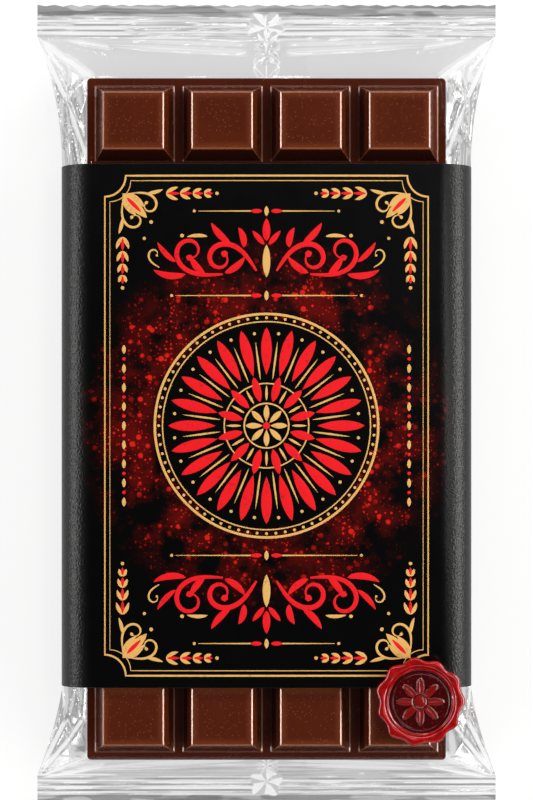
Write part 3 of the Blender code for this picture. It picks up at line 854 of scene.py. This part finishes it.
class Ink:
    """The strokes of one colour, in millimetres on the sleeve's front."""

    def __init__(self):
        self.strokes = []

    def stroke(self, points, widths, closed=False):
        self.strokes.append((points, widths, closed))

    def line(self, points, width, closed=False):
        self.stroke(points, [width] * len(points), closed)

    def ring(self, middle, radius, width, sides):
        turns = [math.tau * k / sides for k in range(sides)]
        places = [(middle[0] + radius * math.cos(t), middle[1] + radius * math.sin(t)) for t in turns]
        self.line(places, width, closed=True)

    def leaf(self, start, heading, length, width, curve=0.0, fullest=0.45):
        """A pointed leaf or petal that leaves its start along the heading and bends by curve."""
        x, y = start
        points, widths = [], []
        for k in range(LEAF_STEPS + 1):
            share = k / LEAF_STEPS
            points.append((x, y))
            swell = share ** (fullest / (1 - fullest)) * (1 - share)
            peak = fullest ** (fullest / (1 - fullest)) * (1 - fullest)
            widths.append(max(width * (swell / peak) ** 0.8, 0.03))
            turn = heading + curve * share
            x += math.cos(turn) * length / LEAF_STEPS
            y += math.sin(turn) * length / LEAF_STEPS
        self.stroke(points, widths)

    def scroll(self, start, heading, length, curl, width):
        """A tendril that leaves its start along the heading and curls ever tighter to a knob."""
        x, y = start
        points, widths = [], []
        for k in range(SCROLL_STEPS + 1):
            share = k / SCROLL_STEPS
            points.append((x, y))
            swell = math.sin(math.pi * min(share * 1.12, 1)) ** 0.7
            widths.append(width * (SCROLL_TAIL + (1 - SCROLL_TAIL) * swell))
            turn = heading + curl * share**2.2
            x += math.cos(turn) * length / SCROLL_STEPS
            y += math.sin(turn) * length / SCROLL_STEPS
        widths[-2] = widths[-3] = width * 1.25
        self.stroke(points, widths)

    def dot(self, middle, radius):
        self.ring(middle, radius * 0.5, radius, sides=10)

    def mirrored(self, since):
        """Repeat the strokes drawn since then on the other hand."""
        for points, widths, closed in self.strokes[since:]:
            self.stroke([(-x, y) for x, y in points], widths, closed)

    def turned_over(self, since, level):
        """Put the strokes drawn since then upside down about a level."""
        for k, (points, widths, closed) in enumerate(self.strokes[since:], since):
            self.strokes[k] = ([(x, 2 * level - y) for x, y in points], widths, closed)

    def print_on(self, name, finish, slot, over=0.0):
        curve = bpy.data.curves.new(name, "CURVE")
        curve.dimensions = "3D"
        curve.bevel_depth = 0.5 * MM
        curve.bevel_resolution = 1
        curve.use_fill_caps = True
        for points, widths, closed in self.strokes:
            spline = curve.splines.new("POLY")
            spline.points.add(len(points) - 1)
            for point, place, width in zip(spline.points, points, widths):
                point.co = (place[0] * MM, place[1] * MM, 0, 1)
                point.radius = width
            spline.use_cyclic_u = closed
        thing = bpy.data.objects.new(name, curve)
        scene.collection.objects.link(thing)
        thing.select_set(True)
        bpy.context.view_layer.objects.active = thing
        bpy.ops.object.convert(target="MESH")
        for vertex in thing.data.vertices:
            lift = INK * (0.4 + over + math.tanh(vertex.co.z / (0.12 * MM)))
            vertex.co.z = crown_height(vertex.co.x) + lift
        bpy.ops.object.shade_smooth_by_angle(angle=math.radians(60))
        fix(thing, name, finish)


def framed_outline(inset):
    """A tall frame whose corners are scooped out, as points all the way round."""
    half, top, bottom = FRAME_X - inset, FRAME_TOP - inset, FRAME_BOTTOM + inset
    points = []
    for hand, level, first in ((1, top, 0), (-1, top, 1), (-1, bottom, 0), (1, bottom, 1)):
        up = 1 if level == top else -1
        scoop = []
        for k in range(13):
            turn = math.pi / 2 * k / 12
            from_corner = (FRAME_CORNER * math.cos(turn), FRAME_CORNER * math.sin(turn))
            scoop.append((hand * (half - from_corner[0]), level - up * from_corner[1]))
        points += scoop if first else scoop[::-1]
        if not first:
            reach = half - FRAME_CORNER
            points += [(hand * reach * (1 - k / 12), level) for k in range(1, 24)]
    return points


def corner_spray(gold, red, x, y, up):
    """A palmette in a corner of the frame, with a scroll and a row of buds along each side."""
    drawn = [(ink, len(ink.strokes)) for ink in (gold, red)]
    for heading, bend in ((math.pi, 1), (1.5 * math.pi, -1)):
        along = (math.cos(heading), math.sin(heading))

        def reach(distance):
            return (x + along[0] * distance, y + along[1] * distance)

        gold.scroll(reach(1.8), heading - bend * 0.1, 12.5, bend * 6.4, 0.55)
        gold.leaf(reach(1.0), heading + bend * 0.42, 4.9, 1.25, bend * 0.55)
        gold.leaf(reach(5.4), heading - bend * 0.1, 3.6, 0.8, -bend * 0.3)
        for distance, size in ((9.6, 3.0), (12.7, 2.6), (15.5, 2.2), (18.0, 1.8)):
            gold.leaf(reach(distance), heading + bend * 0.75, size, 0.85, -bend * 0.6)
            gold.leaf(reach(distance), heading - bend * 0.75, size, 0.85, bend * 0.6)
            red.leaf(reach(distance + 0.2), heading, size * 0.95, 0.7)
        gold.dot(reach(20.8), 0.40)
    diagonal = math.radians(225)
    gold.leaf((x, y), diagonal, 7.6, 2.2)
    red.leaf((x - 0.9, y - 0.9), diagonal, 4.6, 1.1)
    gold.dot((x - 6.3, y - 6.3), 0.42)
    for ink, since in drawn:
        if not up:
            ink.turned_over(since, y)
        ink.mirrored(since)


def medallion(gold, red):
    """Rings of beads and three rounds of petals about a small rosette."""
    middle = (0, MEDALLION)
    for radius, width in ((24.6, 0.55), (22.9, 0.28), (9.3, 0.30), (4.9, 0.34)):
        gold.ring(middle, radius, width, sides=120)

    def around(count, offset=0.0):
        return [math.tau * (k + offset) / count for k in range(count)]

    def at(radius, turn):
        return (radius * math.cos(turn), MEDALLION + radius * math.sin(turn))

    for turn in around(72):
        gold.dot(at(23.75, turn), 0.33)
    for turn in around(24):
        red.leaf(at(11.2, turn), turn, PETAL_REACH - 11.2, 2.35, fullest=0.55)
        gold.leaf(at(10.2, turn + math.pi / 24), turn + math.pi / 24, 8.4, 0.42)
        gold.dot(at(20.4, turn + math.pi / 24), 0.36)
    for turn in around(12, 0.5):
        red.leaf(at(5.4, turn), turn, 5.6, 1.85, fullest=0.5)
    for turn in around(12):
        gold.leaf(at(5.6, turn), turn, 3.3, 0.55)
    for turn in around(8):
        gold.leaf(at(0.9, turn), turn, 3.7, 1.25, fullest=0.55)
    red.dot(middle, 0.8)


def flourish(gold, red, y, up):
    """A level pair of scrolled stems with leaves, opening outwards from a bud on the middle line."""
    drawn = [(ink, len(ink.strokes)) for ink in (gold, red)]

    def aim(degrees):
        return math.radians(degrees * up)

    def at(x, higher):
        return (x, y + higher * up)

    red.scroll(at(2.2, -2.2), aim(58), 23.0, -up * 7.4, 1.15)
    red.scroll(at(9.6, -2.9), aim(-4), 24.0, up * 7.2, 1.05)
    red.leaf(at(9.2, -2.6), aim(160), 5.8, 1.5, -up * 0.7)
    red.leaf(at(13.6, -2.9), aim(36), 5.2, 1.5, up * 0.6)
    red.leaf(at(5.0, 3.0), aim(96), 4.6, 1.5, -up * 0.8)
    red.leaf(at(8.0, 3.9), aim(34), 6.2, 1.5, up * 0.5)
    red.leaf(at(17.8, -2.9), aim(-16), 7.4, 1.5, up * 0.9)
    red.leaf(at(20.0, -0.2), aim(34), 6.0, 1.2, up * 0.5)
    gold.scroll(at(23.6, -1.4), aim(30), 7.6, up * 5.4, 0.42)
    gold.leaf(at(13.0, 5.4), aim(12), 4.6, 0.8, -up * 0.5)
    gold.dot(at(18.6, 5.6), 0.42)
    gold.dot(at(26.9, 5.0), 0.36)
    for ink, since in drawn:
        ink.mirrored(since)
    gold.leaf((0, y - 3.6), math.radians(90), 7.2, 1.7, fullest=0.5)
    red.leaf(at(0, 4.4), aim(90), 5.0, 1.7)
    for hand in (-1, 1):
        red.leaf(at(hand * 0.5, 3.6), aim(90) - hand * up * 0.7, 4.0, 1.2)


def divider(gold, red, y, half):
    """A thin rule that swells towards a small flower in its middle."""
    for hand in (-1, 1):
        points = [(hand * (2.6 + (half - 2.6) * k / 10), y) for k in range(11)]
        gold.stroke(points, [0.34 * (1 - 0.06 * k) for k in range(11)])
        gold.dot((hand * (half + 0.9), y), 0.34)
        red.leaf((hand * 1.0, y), 0 if hand > 0 else math.pi, 2.6, 0.95)
    gold.leaf((0, y - 1.1), math.radians(90), 2.2, 0.95, fullest=0.5)


def print_finish(name, colour, dark):
    """Matt ink, a little worn."""
    paint = Paint(name, Roughness=0.45, Specular_IOR_Level=0.3)
    wear_and_painted_highlight = paint.noise(0.9 * MM, 0.9 * MM, 30 * MM, detail=5.0).step(0.56, 0.74)
    paint.set(Base_Color=paint.mix(0.55 * wear_and_painted_highlight, colour, dark))
    return paint.material


gold, red = Ink(), Ink()
gold.line(framed_outline(0), 0.42, closed=True)
gold.line(framed_outline(1.1), 0.20, closed=True)
corner_spray(gold, red, FRAME_X - SPRAY_INSET, FRAME_TOP - SPRAY_INSET, True)
corner_spray(gold, red, FRAME_X - SPRAY_INSET, FRAME_BOTTOM + SPRAY_INSET, False)
medallion(gold, red)
flourish(gold, red, 31.6, 1)
flourish(gold, red, -41.0, -1)
for level, half in ((42.6, 15.0), (24.0, 20.0), (-33.2, 20.0), (-52.6, 15.0)):
    divider(gold, red, level, half)
for hand in (-1, 1):
    for k in range(9):
        bead = (hand * BEAD_ROW_X, MEDALLION + BEAD_PITCH * (k - 4) - 1.0)
        gold.leaf(bead, math.radians(90), 2.0, 0.85, fullest=0.5)
    for k in range(8):
        red.dot((hand * BEAD_ROW_X, MEDALLION + BEAD_PITCH * (k - 3.5)), 0.38)
gold_ink = print_finish("gold_print", (0.74, 0.42, 0.12, 1), (0.30, 0.15, 0.04, 1))
red_ink = print_finish("red_print", (0.80, 0.007, 0.012, 1), (0.30, 0.002, 0.004, 1))
gold.print_on("gold_ornament", gold_ink, "gold_print")
red.print_on("red_ornament", red_ink, "red_print", over=0.6)


# The wax seal
# Red sealing wax, poured over the sleeve's lower edge and pressed with a round stamp, which
# squeezed it out in uneven lobes and left a sunken dish with a plain flower in it.
seal_low, seal_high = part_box("wax_seal")
SEAL_X = 33.7 * MM
SEAL_Y = -65.2 * MM
SEAL_RADIUS = 9.4 * MM
SEAL_LOBES = 11
SEAL_LOBE = 0.38 * MM
SEAL_DISH = 7.1 * MM
SEAL_DISH_DEPTH = 0.8 * MM
SEAL_STEP = 12.5 * MM
SEAL_PETALS = 8
SEAL_TURNS = 264
SEAL_RINGS = 110
DISH_SHARE, WALL_SHARE, RIM_SHARE = 0.55, 0.62, 0.92
RIM_HEIGHT = 1.15 * MM


def seal_reach(turn):
    """How far the squeezed-out wax reaches in each direction."""
    even = SEAL_LOBE * math.cos(SEAL_LOBES * turn)
    return SEAL_RADIUS + even + SEAL_LOBE * (0.40 * math.sin(3 * turn + 0.6) + 0.25 * math.sin(5 * turn))


def seal_flower(away, turn):
    """The relief of the stamp: a ring, eight petals with a vein each, and a knob in the middle."""
    reach = away / SEAL_DISH
    petal = 0.30 + 0.46 * (0.5 + 0.5 * math.cos(SEAL_PETALS * turn)) ** 0.7
    raised = min(max((petal - reach) / 0.06, 0), 1)
    vein = max(0, 1 - abs(math.sin(SEAL_PETALS / 2 * turn)) * reach * 9) * (0.3 < reach < 0.70)
    knob = max(0, 1 - (reach / 0.17) ** 2)
    hollow = max(0, 1 - abs(reach - 0.22) / 0.05)
    ring = max(0, 1 - abs(reach - 0.87) / 0.035)
    return (0.26 * raised - 0.12 * vein * raised + 0.25 * knob - 0.2 * hollow + 0.16 * ring) * MM


def seal_place(turn, share):
    """From the middle of the dish (share 0) out over the rim, and back underneath at no height."""
    reach = seal_reach(turn)
    top = seal_high[2] - 0.05 * MM - 0.16 * MM * (1 + math.sin(4 * turn + 0.5 * math.sin(3 * turn)))
    dish = seal_high[2] - SEAL_DISH_DEPTH
    if share < DISH_SHARE:
        away = SEAL_DISH * 0.965 * share / DISH_SHARE
        return away, dish + seal_flower(away, turn)
    if share < WALL_SHARE:
        part = (share - DISH_SHARE) / (WALL_SHARE - DISH_SHARE)
        rise = part * part * (3 - 2 * part)
        return SEAL_DISH * (0.965 + 0.075 * part), dish + (top - 0.2 * MM - dish) * rise
    if share < RIM_SHARE:
        part = (share - WALL_SHARE) / (RIM_SHARE - WALL_SHARE)
        swing = math.radians(150) - math.radians(215) * part
        rim_start = SEAL_DISH * 1.04
        rim_middle = (rim_start + reach) / 2 + 0.1 * MM
        half = (reach - rim_start) / 2
        away = rim_middle + half * math.cos(swing) / math.cos(math.radians(28))
        return min(away, reach), top - RIM_HEIGHT * (1 - math.sin(swing))
    return (reach - 0.5 * MM) * (1 - share) / (1 - RIM_SHARE), 0


bpy.ops.mesh.primitive_uv_sphere_add(segments=SEAL_TURNS, ring_count=SEAL_RINGS, radius=1)
seal = bpy.context.object
for vertex in seal.data.vertices:
    turn = math.atan2(vertex.co.y, vertex.co.x)
    share = math.acos(max(-1, min(1, vertex.co.z))) / math.pi
    away, height = seal_place(turn, share)
    x = SEAL_X + away * math.cos(turn)
    y = SEAL_Y + away * math.sin(turn)
    under = SEAL_STEP if y > sleeve_low[1] - 0.3 * MM else seal_low[2]
    vertex.co = (x, y, max(height, under))  # lies on the card or, past its edge, on the film
bpy.ops.object.shade_smooth()


def wax_finish():
    """Glossy sealing wax, darker in the stamped dish, where a few bright specks lie and the raised flower
    is painted lighter, as painted light.
    """
    paint = Paint("red_wax", IOR=1.45, Coat_Weight=0.25, Coat_Roughness=0.03)
    away = paint.away_from(SEAL_X, SEAL_Y)
    rim = away.step(SEAL_DISH - 0.3 * MM, SEAL_DISH + 0.15 * MM)
    mottle = paint.noise(1.6 * MM, 1.6 * MM, 1.6 * MM, detail=3.0)
    specks = 1 - paint.cells(0.62 * MM, 0.62 * MM, 3 * MM).step(0.10, 0.24)
    dish_floor = seal_high[2] - SEAL_DISH_DEPTH
    raised = paint.z.step(dish_floor + 0.08 * MM, dish_floor + 0.24 * MM)
    # The raised flower is painted lighter than the dish floor, as painted light
    dish = paint.mix(0.5 * specks + 0.35 * raised, (0.040, 0.0003, 0.0005, 1), (0.50, 0.012, 0.010, 1))
    wax = paint.mix(mottle.step(0.35, 0.7), (0.24, 0.001, 0.0015, 1), (0.44, 0.003, 0.004, 1))
    paint.set(Base_Color=paint.mix(rim, dish, wax), Roughness=0.13 + 0.08 * mottle)
    paint.set(Normal=paint.bump(mottle, 0.2, 0.08 * MM))
    return paint.material


fix(seal, "pressed_wax_seal", wax_finish(), "wax_seal")


# The floor, the lamps and the camera
# A white floor that glows a little, so that no shadow greys it, under five long soft boxes: the
# strongest low on the right, weaker ones low on the other sides and one higher up. The camera
# looks straight down, with its frame shifted to hold the whole pack.
CAMERA_HEIGHT = 455.3 * MM
CAMERA_Y = -14.4 * MM
CAMERA_LENS = 90.6
CAMERA_SHIFT = 0.0875
FLOOR_SIZE = 20
FLOOR_GLOW = 0.715
WARM = (1.0, 0.985, 0.97)
PALE = (1.0, 0.99, 0.98)

# Each lamp's place, size, power in watts and colour; all are aimed at the middle of the pack
LAMPS = {
    "right_box": ((0.76, 0.05, 0.355), (1.15, 0.17), 8.8, WARM),
    "left_box": ((-0.76, 0.05, 0.37), (1.15, 0.12), 6.6, PALE),
    "far_box": ((0.05, 0.72, 0.47), (1.10, 0.10), 3.0, PALE),
    "near_box": ((-0.05, -0.74, 0.45), (1.10, 0.07), 1.2, PALE),
    "high_box": ((0.40, 0.10, 0.69), (0.70, 0.13), 1.0, PALE),
}
for name, (place, size, power, colour) in LAMPS.items():
    light = bpy.data.lights.new(name, "AREA")
    light.shape = "RECTANGLE"
    light.size, light.size_y = size
    light.energy = power
    light.color = colour
    lamp = bpy.data.objects.new(name, light)
    lamp.location = place
    lamp.rotation_euler = (-Vector(place)).to_track_quat("-Z", "Y").to_euler()
    lamp.visible_camera = False
    scene.collection.objects.link(lamp)

bpy.ops.mesh.primitive_plane_add(size=FLOOR_SIZE, location=(0, 0, -0.1 * MM))
floor = bpy.context.object
floor.name = "floor"
floor_paint = Paint("floor", Roughness=0.9, Specular_IOR_Level=0.1, Emission_Strength=FLOOR_GLOW)
floor_paint.set(Base_Color=(0.30, 0.30, 0.30, 1), Emission_Color=(1.0, 1.0, 1.0, 1))
floor.data.materials.append(floor_paint.material)

world = bpy.data.worlds.new("studio")
world.use_nodes = True
sky = world.node_tree.nodes["Background"].inputs
sky["Color"].default_value = (0.93, 0.96, 1.0, 1)
sky["Strength"].default_value = 0.05
scene.world = world
scene.view_settings.view_transform = "Standard"

camera = bpy.data.objects.new("camera", bpy.data.cameras.new("camera"))
camera.data.lens = CAMERA_LENS
camera.data.shift_y = CAMERA_SHIFT
camera.location = (0, CAMERA_Y, CAMERA_HEIGHT)
scene.collection.objects.link(camera)
scene.camera = camera
